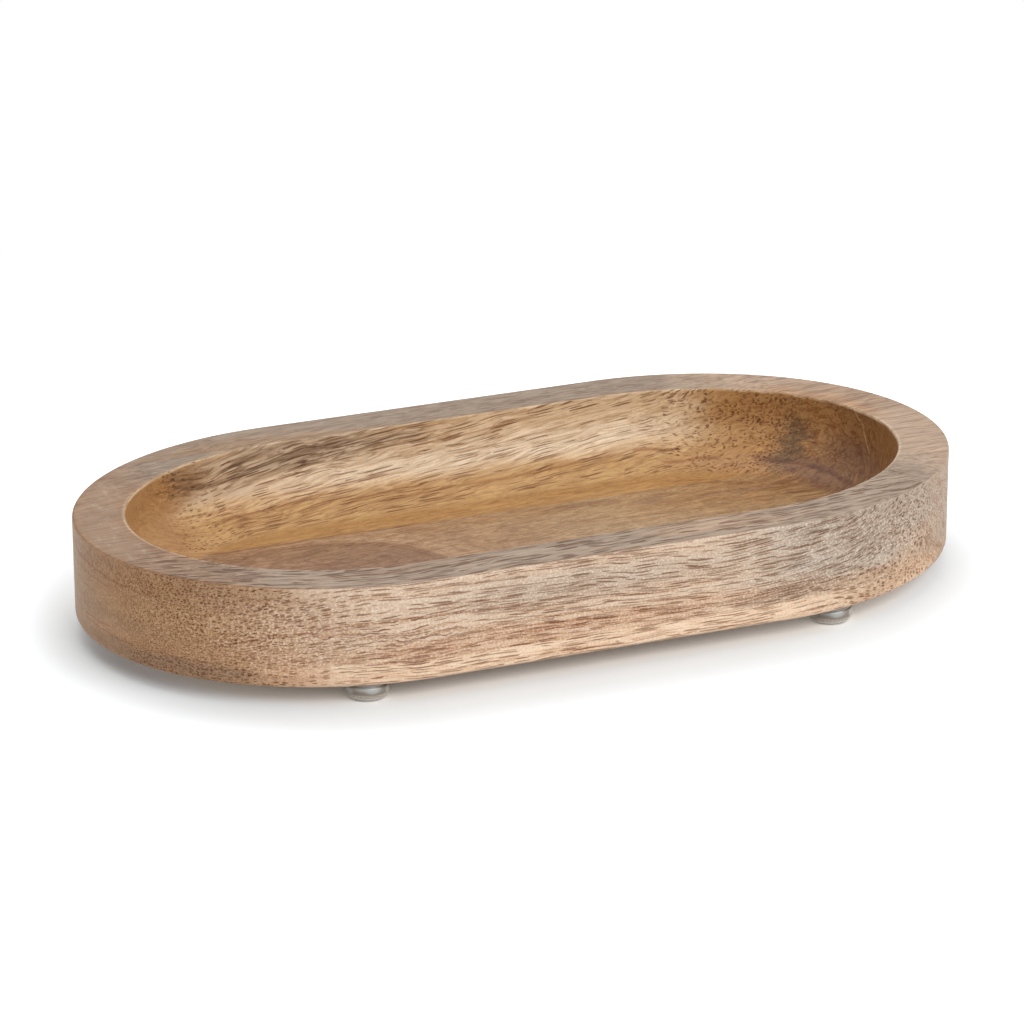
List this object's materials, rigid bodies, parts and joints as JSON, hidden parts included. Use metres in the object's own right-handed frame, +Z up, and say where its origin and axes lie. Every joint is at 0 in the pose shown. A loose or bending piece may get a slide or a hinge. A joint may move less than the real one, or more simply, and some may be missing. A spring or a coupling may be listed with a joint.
{
  "type": "oval wooden tray",
  "caption": "Long oval hardwood tray with a flat rim, a smooth routed hollow with coved walls, and clear stick-on bumper feet underneath.",
  "frame": {"origin": "middle of the footprint, on the surface that the feet stand on", "axes": "+X along the tray, +Z up, -Y the front in the picture"},
  "size_m": [0.25, 0.13, 0.0328],
  "materials": {
    "tray_wood": "oiled satin, open pored",
    "clear_foot": "clear gloss elastomer",
    "adhesive": "clear tacky film"
  },
  "bodies": {
    "root": {"tray_body": "tray_wood", "foot_front_left": "clear_foot", "foot_front_right": "clear_foot", "foot_back_left": "clear_foot", "foot_back_right": "clear_foot", "adhesive_front_left": "adhesive", "adhesive_front_right": "adhesive", "adhesive_back_left": "adhesive", "adhesive_back_right": "adhesive"}
  },
  "joints": []
}
